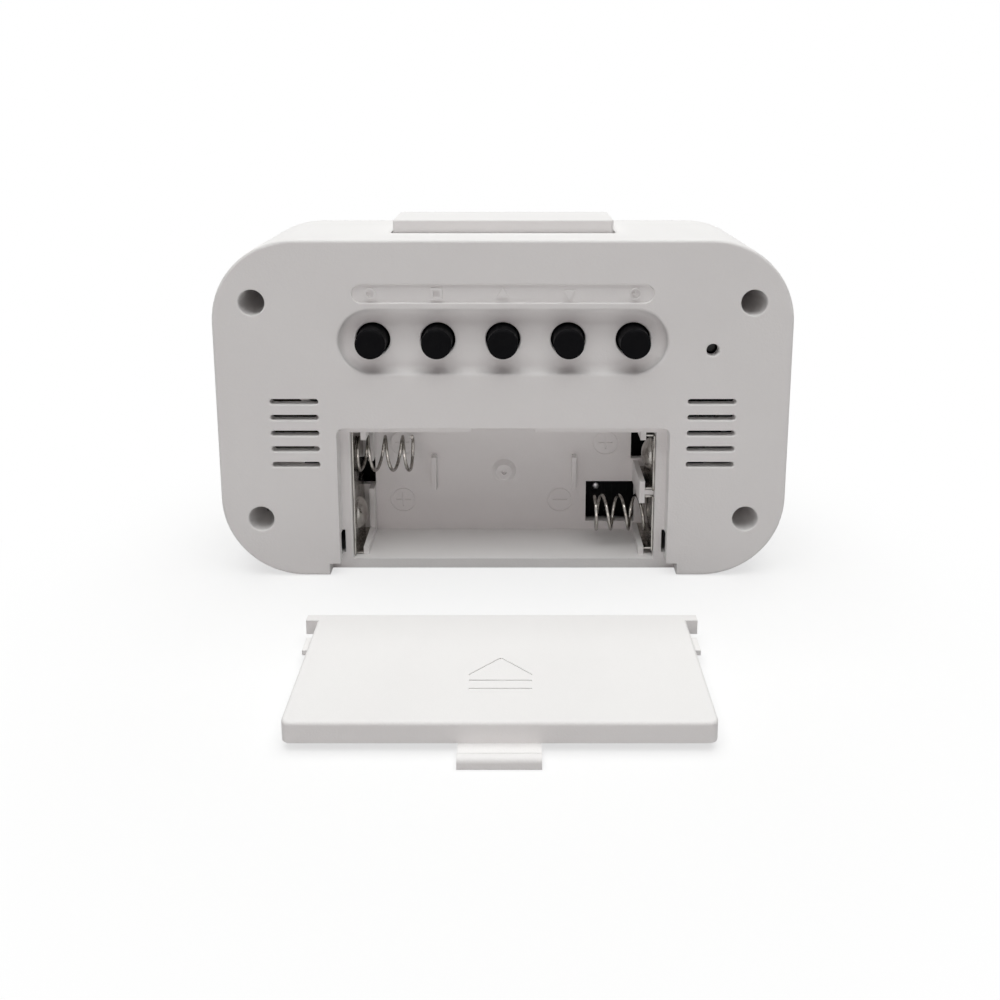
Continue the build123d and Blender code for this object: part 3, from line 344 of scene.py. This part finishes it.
def spring_wire():
    """Drawn spring wire, bright, with brown tarnish; the dark brown streaks and tarnish also paint dark
    reflection.
    """
    light = (0.60, 0.58, 0.55, 1.0)
    # Dark brown streak and tarnish colours: painted dark reflection as well as tarnish
    dark = (0.11, 0.092, 0.076, 1.0)
    stain = (0.045, 0.034, 0.026, 1.0)
    return metal("spring_wire", light, dark, stain, rough=(0.08, 0.2))


def screw_steel():
    """Zinc-plated screws, dull inside the wells."""
    light = (0.52, 0.52, 0.54, 1.0)
    dark = (0.34, 0.34, 0.36, 1.0)
    stain = (0.18, 0.16, 0.14, 1.0)
    return metal("screw_steel", light, dark, stain, rough=(0.3, 0.5))


def lens_acrylic():
    """Clear acrylic window that lets the lamps through to the display."""
    finish = Finish("lens_acrylic", ior=1.49, transmission_weight=1.0, base_color=(0.98, 0.99, 0.98, 1.0))
    hairlines = finish.noise(1.2, detail=4.0, place=finish.stretched((1, 1, 0.06)))
    finish.set(roughness=finish.step(hairlines, 0.45, 0.75, 0.015, 0.07))
    clear = finish.node("ShaderNodeBsdfTransparent", None, {"Color": (0.95, 0.96, 0.95, 1.0)})
    shadow = finish.node("ShaderNodeLightPath", out="Is Shadow Ray")
    finish.overlay(shadow, clear)
    return finish.material


def display_glass():
    """Unlit liquid-crystal cell: grey-green with a faint polariser bloom."""
    finish = Finish("display_glass", specular_ior_level=0.5, coat_weight=0.4, coat_roughness=0.08)
    bloom = finish.noise(38.0)
    fleck = finish.noise(0.5)
    base = finish.mix(bloom, (0.36, 0.40, 0.33, 1.0), (0.43, 0.47, 0.38, 1.0))
    base = finish.mix(finish.step(fleck, 0.5, 0.8) * 0.08, base, (0.62, 0.66, 0.56, 1.0))
    finish.set(base_color=base, roughness=finish.spread(bloom, 0.22, 0.32))
    return finish.material


def segment_print():
    """Liquid-crystal segments at rest: a little darker than the glass behind them."""
    finish = Finish("segment_print", specular_ior_level=0.4)
    bloom = finish.noise(30.0)
    base = finish.mix(bloom, (0.17, 0.195, 0.16, 1.0), (0.23, 0.26, 0.21, 1.0))
    finish.set(base_color=base, roughness=finish.spread(bloom, 0.25, 0.35))
    return finish.material


def solder_mask():
    """Near-black solder mask over etched tracks, partly painted shade for the board seen through the bay's
    window.
    """
    finish = Finish("solder_mask", specular_ior_level=0.08)
    bricks = {"Vector": finish.stretched((1 / MM, 1 / MM, 1 / MM)), "Scale": 0.35, "Mortar Size": 0.035}
    tracks = finish.node("ShaderNodeTexBrick", {"offset": 0.37, "squash": 1.6}, bricks, out="Fac")
    weave = finish.noise(0.6)
    # Near-black colour: partly painted shade, so the board behind the bay's window reads black
    base = finish.mix(weave, (0.003, 0.0034, 0.0036, 1.0), (0.006, 0.0065, 0.0068, 1.0))
    base = finish.mix(tracks * 0.5, base, (0.014, 0.016, 0.015, 1.0))
    finish.set(
        base_color=base,
        roughness=finish.spread(weave, 0.5, 0.68),
        normal=finish.bump(tracks, 0.035),
    )
    return finish.material


def solder():
    """Dull tin solder."""
    light = (0.62, 0.62, 0.63, 1.0)
    dark = (0.45, 0.45, 0.46, 1.0)
    stain = (0.3, 0.28, 0.25, 1.0)
    return metal("solder", light, dark, stain, rough=(0.35, 0.55))


# Finishes of the pieces inside


def drawn_can():
    """Tinned can of the crystal."""
    light = (0.72, 0.72, 0.73, 1.0)
    dark = (0.55, 0.55, 0.57, 1.0)
    stain = (0.4, 0.38, 0.35, 1.0)
    return metal("drawn_can", light, dark, stain, rough=(0.22, 0.4), grain_stretch=(0.1, 1, 1))


def buzzer_disc():
    """Tarnished brass disc of the buzzer."""
    light = (0.07, 0.05, 0.025, 1.0)
    dark = (0.03, 0.022, 0.012, 1.0)
    stain = (0.015, 0.012, 0.01, 1.0)
    return metal("buzzer_disc", light, dark, stain, rough=(0.45, 0.65))


def plain_plastic(name, light, dark, rough, grain=0.5, depth=0.01):
    """Small mouldings and sleeves: clouded colour and a fine grain."""
    finish = Finish(name, specular_ior_level=0.45)
    clouds = finish.noise(2.5, detail=3.0)
    finish.set(
        base_color=finish.mix(clouds, dark, light),
        roughness=finish.spread(clouds, *rough),
        normal=finish.bump(finish.noise(grain), depth, finish.softened(0.12)),
    )
    return finish.material


def switch_plastic():
    """Black mouldings of the push switches."""
    return plain_plastic("switch_plastic", grey(0.03), grey(0.012), rough=(0.4, 0.6))


def cast_resin():
    """Glossy drop of black resin, a little uneven."""
    return plain_plastic("cast_resin", grey(0.022), grey(0.01), rough=(0.16, 0.3), grain=3.0, depth=0.06)


def red_sleeve():
    """Sleeve of the red lead."""
    light = (0.55, 0.02, 0.02, 1.0)
    dark = (0.38, 0.012, 0.012, 1.0)
    return plain_plastic("red_sleeve", light, dark, rough=(0.35, 0.5))


def black_sleeve():
    """Sleeve of the black leads."""
    return plain_plastic("black_sleeve", grey(0.02), grey(0.01), rough=(0.35, 0.5))


def frosted_guide():
    """Frosted plastic behind the display, which spreads the light."""
    light = (0.85, 0.88, 0.86, 1.0)
    dark = (0.78, 0.82, 0.8, 1.0)
    return plain_plastic("frosted_guide", light, dark, rough=(0.3, 0.45), grain=0.8, depth=0.02)


def striped(name, light, dark, pitch, share, rough):
    """Stripes across X, such as a layered rubber or a ribbon's wires."""
    finish = Finish(name, specular_ior_level=0.4)
    wave = finish.math("FRACT", finish.axis("X") * (1 / pitch))
    clouds = finish.noise(1.5)
    stripe = wave < share
    base = finish.mix(stripe, light, dark)
    finish.set(
        base_color=finish.mix(clouds * 0.25, base, dark),
        roughness=finish.spread(clouds, *rough),
        normal=finish.bump(stripe, 0.02),
    )
    return finish.material


def striped_rubber():
    """Contact rubber in thin layers."""
    light = (0.55, 0.28, 0.27, 1.0)
    return striped("striped_rubber", light, grey(0.02), pitch=0.4, share=0.5, rough=(0.5, 0.7))


def flat_ribbon():
    """Grey ribbon of parallel wires."""
    light = (0.5, 0.5, 0.52, 1.0)
    dark = (0.3, 0.3, 0.32, 1.0)
    return striped("flat_ribbon", light, dark, pitch=1.0, share=0.35, rough=(0.4, 0.55))


# Which finish each piece has

KEYS = ("mode", "set", "up", "down", "timer")
FINISHES = {
    white_abs: ["rear_case", "front_bezel", "battery_door", "snooze_bar", "lcd_frame"],
    black_key: [f"{key}_button" for key in KEYS],
    switch_plastic: [
        "key_switch_bodies", "snooze_switch_body", "reset_switch_body", "snooze_plunger", "reset_plunger",
    ] + [f"{key}_plunger" for key in KEYS],
    nickel_plate: ["bridge_contact", "positive_contact", "negative_contact"],
    screw_steel: ["case_screws", "main_board_screws", "key_board_screws"],
    lens_acrylic: ["display_lens"],
    display_glass: ["lcd_front_glass", "lcd_rear_glass"],
    frosted_guide: ["light_guide", "reflector_sheet", "backlight_leds"],
    solder_mask: ["main_board", "key_board"],
    cast_resin: ["controller_blob", "temperature_sensor"],
    drawn_can: ["quartz_crystal"],
    striped_rubber: ["zebra_strip"],
    flat_ribbon: ["key_ribbon"],
    buzzer_disc: ["piezo_buzzer"],
    red_sleeve: ["battery_lead_red"],
    black_sleeve: ["battery_lead_black", "buzzer_leads"],
}


def paint_cad_nodes():
    """Gives every carried-over piece its finish."""
    for finish, members in FINISHES.items():
        material = finish()
        for member in members:
            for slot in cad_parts[member].material_slots:
                slot.material = material


# Shapes made by node trees


def link_piece(name, mesh):
    """A new object in the scene, at the origin."""
    mesh.name = name
    piece = bpy.data.objects.new(name, mesh)
    bpy.context.scene.collection.objects.link(piece)
    return piece


class Shape(Tree):
    """A geometry tree with named inputs, whose result becomes a plain mesh."""

    def __init__(self, name, numbers, counts=()):
        super().__init__(bpy.data.node_groups.new(name, "GeometryNodeTree"))
        kinds = {"Geometry": "NodeSocketGeometry", "Finish": "NodeSocketMaterial"}
        kinds.update({label: "NodeSocketFloat" for label in numbers})
        kinds.update({label: "NodeSocketInt" for label in counts})
        face = self.tree.interface
        self.keys = {}
        for label, kind in kinds.items():
            self.keys[label] = face.new_socket(label, in_out="INPUT", socket_type=kind).identifier
        face.new_socket("Geometry", in_out="OUTPUT", socket_type="NodeSocketGeometry")
        self.inputs = self.node("NodeGroupInput", out="Geometry")

    def given(self, label):
        """One of the tree's inputs."""
        return self.inputs.out(label)

    def close(self, geometry):
        """Ends the tree: instances become one mesh, with the finish given."""
        real = self.node("GeometryNodeRealizeInstances", None, {"Geometry": geometry})
        sockets = {"Geometry": real, "Material": self.given("Finish")}
        painted = self.node("GeometryNodeSetMaterial", None, sockets)
        self.node("NodeGroupOutput", None, {"Geometry": painted})

    def piece(self, name, values, points=()):
        """Runs the tree on loose points and gives a new object with the plain mesh."""
        seed = bpy.data.meshes.new(name + "_points")
        seed.from_pydata(points, [], [])
        maker = bpy.data.objects.new(name + "_maker", seed)
        bpy.context.scene.collection.objects.link(maker)
        modifier = maker.modifiers.new(self.tree.name, "NODES")
        modifier.node_group = self.tree
        for label, value in values.items():
            modifier[self.keys[label]] = value
        graph = bpy.context.evaluated_depsgraph_get()
        mesh = bpy.data.meshes.new_from_object(maker.evaluated_get(graph), depsgraph=graph)
        maker.modifiers.remove(modifier)
        bpy.data.objects.remove(maker)
        return link_piece(name, mesh)


def spring_shape():
    """Compression spring along +Z, with closed turns at both ends."""
    numbers = ("Coil radius", "Wire radius", "Length", "Turns", "Closed turns")
    shape = Shape("wound_spring", numbers, counts=("Points", "Sides"))
    coil = shape.given("Coil radius")
    wire = shape.given("Wire radius")
    turns = shape.given("Turns")
    closed = shape.given("Closed turns")
    line = shape.node("GeometryNodeCurvePrimitiveLine")
    line = shape.node("GeometryNodeResampleCurve", None, {"Curve": line, "Count": shape.given("Points")})
    turn = shape.node("GeometryNodeSplineParameter", out="Factor") * turns
    angle = turn * (2 * math.pi)
    span = {"Value": turn, "From Min": closed, "From Max": turns - closed}
    even = shape.node("ShaderNodeMapRange", None, span)
    eased = shape.node("ShaderNodeMapRange", {"interpolation_type": "SMOOTHSTEP"}, span)
    opening = shape.given("Length") - 2 * wire - 2 * wire * turns
    height = wire + 2 * wire * turn + opening * (SPRING_EVEN * even + (1 - SPRING_EVEN) * eased)
    place = shape.node("ShaderNodeCombineXYZ", None, {
        "X": shape.math("COSINE", angle) * coil,
        "Y": shape.math("SINE", angle) * coil,
        "Z": height,
    })
    line = shape.node("GeometryNodeSetPosition", None, {"Geometry": line, "Position": place})
    sockets = {"Radius": wire, "Resolution": shape.given("Sides")}
    section = shape.node("GeometryNodeCurvePrimitiveCircle", None, sockets)
    sockets = {"Curve": line, "Profile Curve": section, "Fill Caps": True}
    tube = shape.node("GeometryNodeCurveToMesh", None, sockets)
    shape.close(shape.node("GeometryNodeSetShadeSmooth", None, {"Geometry": tube}))
    return shape


def make_springs():
    """Springs of the bay, wound in the place of the solid coils."""
    shape = spring_shape()
    finish = spring_wire()
    for node_name, piece_name in SPRINGS.items():
        low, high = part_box(node_name)
        middle = (low + high) / 2
        side = 1 if middle.x > 0 else -1
        foot = Vector((high.x if side > 0 else low.x, middle.y, middle.z))
        spring = shape.piece(piece_name, {
            "Coil radius": (high.y - low.y - SPRING_WIRE * MM) / 2,
            "Wire radius": SPRING_WIRE * MM / 2,
            "Length": high.x - low.x,
            "Turns": SPRING_TURNS,
            "Closed turns": SPRING_CLOSED_TURNS,
            "Points": SPRING_POINTS,
            "Sides": WIRE_SIDES,
            "Finish": finish,
        })
        # The spring's length runs from its foot towards the middle of the bay
        axes = Matrix(((0, 0, -side), (0, side, 0), (1, 0, 0))).to_4x4()
        spring.data.transform(Matrix.Translation(foot) @ axes)
        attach(spring, "clock")
        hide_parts(node_name)


def solder_shape():
    """Low domes of solder on loose points, rising along +Y."""
    shape = Shape("solder_dots", ("Radius", "Rise"))
    sockets = {"Segments": DOT_SIDES, "Rings": DOT_RINGS, "Radius": 1.0}
    ball = shape.node("GeometryNodeMeshUVSphere", None, sockets, out="Mesh")
    size = {"X": shape.given("Radius"), "Y": shape.given("Rise"), "Z": shape.given("Radius")}
    sockets = {"Geometry": ball, "Scale": shape.node("ShaderNodeCombineXYZ", None, size)}
    dome = shape.node("GeometryNodeTransform", None, sockets)
    dome = shape.node("GeometryNodeSetShadeSmooth", None, {"Geometry": dome})
    sockets = {"Points": shape.given("Geometry"), "Instance": dome}
    shape.close(shape.node("GeometryNodeInstanceOnPoints", None, sockets))
    return shape


def make_solder():
    """Solder on the main board, one dot of it seen through the bay's window."""
    low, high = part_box("main_board")
    width = high.x - low.x
    row_z = (low.z + high.z) / 2 + (high.z - low.z) * DOT_ROW_HEIGHT
    draw = random.Random(DOT_ROW_SEED)
    points = [(WINDOW_DOT[0] * MM, high.y, WINDOW_DOT[1] * MM)]
    for place in range(DOT_ROW_COUNT):
        x = DOT_ROW_WIDTH * (low.x + width * place / (DOT_ROW_COUNT - 1))
        points.append((x, high.y, row_z + draw.uniform(-DOT_ROW_SCATTER, DOT_ROW_SCATTER) * MM))
    piece = solder_shape().piece("board_solder", {
        "Radius": DOT_RADIUS * MM,
        "Rise": DOT_RISE * MM,
        "Finish": solder(),
    }, points)
    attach(piece, "clock")


# Display print


def bar_outline(length, width):
    """Flat bar with pointed ends, along X."""
    half = length / 2
    tip = width / 2
    upper = [(-half, 0), (-half + tip, tip), (half - tip, tip)]
    return upper + [(-x, -z) for x, z in upper]


def ring_outline(x, z, radius):
    """Round outline about a point."""
    steps = [2 * math.pi * step / RING_SIDES for step in range(RING_SIDES)]
    return [(x + radius * math.cos(step), z + radius * math.sin(step)) for step in steps]


def digit_bars(width, height, bar):
    """The seven bars of a digit: middle, whether it stands, and length."""
    across = width - bar
    along = (height - bar) / 2
    rows = [0, along, 2 * along]
    bars = [((width / 2, bar / 2 + row), False, across) for row in rows]
    for x in (bar / 2, width - bar / 2):
        bars += [((x, bar / 2 + along * (half + 0.5)), True, along) for half in (0, 1)]
    return bars


def display_outlines():
    """Every flat outline of the display print but the degree ring."""
    outlines = []
    for group in DIGIT_GROUPS:
        for place in range(group["count"]):
            left = group["left"] + place * group["pitch"]
            for (x, z), standing, length in digit_bars(group["width"], group["height"], group["bar"]):
                outline = bar_outline(length - 2 * SEGMENT_GAP, group["bar"])
                if standing:
                    outline = [(-b, a) for a, b in outline]
                outlines.append([
                    (left + x + a + DIGIT_SLANT * (z + b), group["low"] + z + b) for a, b in outline
                ])
    outlines += [ring_outline(x, z, radius) for x, z, radius in DOTS]
    x, z, length, width = DASH
    outlines.append([(x + a, z + b) for a, b in bar_outline(length, width)])
    return outlines


def glass_points(mesh, outline, middle):
    """Corners of a flat outline in millimetres, laid on the glass around its middle."""
    return [mesh.verts.new((middle.x + x * MM, middle.y, middle.z + z * MM)) for x, z in outline]


def make_display_print():
    """Resting segments, as thin raised marks on the front glass."""
    low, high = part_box("lcd_front_glass")
    middle = Vector(((low.x + high.x) / 2, low.y, (low.z + high.z) / 2))
    mesh = bmesh.new()
    for outline in display_outlines():
        mesh.faces.new(glass_points(mesh, outline, middle))
    x, z, radius, line = DEGREE
    outer = glass_points(mesh, ring_outline(x, z, radius), middle)
    inner = glass_points(mesh, ring_outline(x, z, radius - line), middle)
    for place in range(RING_SIDES):
        mesh.faces.new((outer[place - 1], outer[place], inner[place], inner[place - 1]))
    raised = bmesh.ops.extrude_face_region(mesh, geom=mesh.faces[:])["geom"]
    fronts = [part for part in raised if isinstance(part, bmesh.types.BMVert)]
    bmesh.ops.translate(mesh, verts=fronts, vec=(0.0, -SEGMENT_RISE * MM, 0.0))
    bmesh.ops.recalc_face_normals(mesh, faces=mesh.faces)
    data = bpy.data.meshes.new("display_segments")
    mesh.to_mesh(data)
    mesh.free()
    data.materials.append(segment_print())
    piece = link_piece("display_segments", data)
    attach(piece, "clock")


# Studio


def seen_rays(tree):
    """1 for the rays that show the background itself: straight, mirrored or through glass."""
    path = tree.node("ShaderNodeLightPath", out="Is Camera Ray")
    total = path + path.out("Is Glossy Ray") + path.out("Is Transmission Ray")
    return tree.math("MINIMUM", total, 1.0)


def make_floor():
    """White floor that keeps a soft shadow and fades to plain white away from the clock."""
    half = FLOOR_SIDE / 2
    corners = [(x * half, y * half, -FLOOR_DROP) for x, y in ((-1, -1), (1, -1), (1, 1), (-1, 1))]
    mesh = bpy.data.meshes.new("floor")
    mesh.from_pydata(corners, [], [(0, 1, 2, 3)])
    floor = link_piece("floor", mesh)
    finish = Finish("floor_white", roughness=1.0, specular_ior_level=0.0)
    sockets = {0: finish.place, 1: FLOOR_CENTRE}
    away = finish.node("ShaderNodeVectorMath", {"operation": "DISTANCE"}, sockets, out="Value")
    share = finish.step(away, *FLOOR_FADE, FLOOR_GLOW, 1.0)
    seen = seen_rays(finish)
    finish.set(base_color=finish.mix(seen, FLOOR_BOUNCE, FLOOR_WHITE))
    glow = finish.node("ShaderNodeEmission", None, {"Color": WHITE, "Strength": 1.0})
    finish.overlay(share * seen, glow)
    mesh.materials.append(finish.material)


def make_world():
    """White where it is seen, and a faint even light on the clock."""
    world = bpy.data.worlds.new("studio")
    bpy.context.scene.world = world
    world.use_nodes = True
    tree = Tree(world.node_tree)
    shade = tree.mix(seen_rays(tree), AMBIENT, WHITE)
    tree.feed(world.node_tree.nodes["Background"].inputs["Color"], shade)


def make_lamps():
    """Square soft lamps. One without gloss leaves no mirror image on the clock."""
    for name, lamp in LAMPS.items():
        data = bpy.data.lights.new(name, "AREA")
        data.size = lamp["side"]
        data.energy = lamp["watts"]
        data.color = lamp["colour"]
        holder = bpy.data.objects.new(name, data)
        holder.location = lamp["place"]
        holder.visible_glossy = lamp["gloss"]
        holder.visible_transmission = lamp["gloss"]
        way = Vector(lamp["aim"]) - Vector(lamp["place"])
        holder.rotation_euler = way.to_track_quat("-Z", "Y").to_euler()
        bpy.context.scene.collection.objects.link(holder)


def make_camera():
    """Camera behind the clock, looking along -Y and a little down."""
    data = bpy.data.cameras.new("camera")
    data.sensor_width = SENSOR_WIDTH
    data.lens = FOCAL_PIXELS / FRAME_PIXELS * SENSOR_WIDTH
    data.shift_x, data.shift_y = CAMERA_SHIFT
    data.clip_start = CAMERA_NEAR * MM
    camera = bpy.data.objects.new("camera", data)
    camera.location = Vector(CAMERA_PLACE) * MM
    camera.rotation_euler = (math.radians(90 - CAMERA_PITCH), 0.0, math.pi)
    bpy.context.scene.collection.objects.link(camera)
    bpy.context.scene.camera = camera


bpy.context.scene.view_settings.view_transform = "Standard"
paint_cad_nodes()
make_springs()
make_solder()
make_display_print()
make_floor()
make_world()
make_lamps()
make_camera()
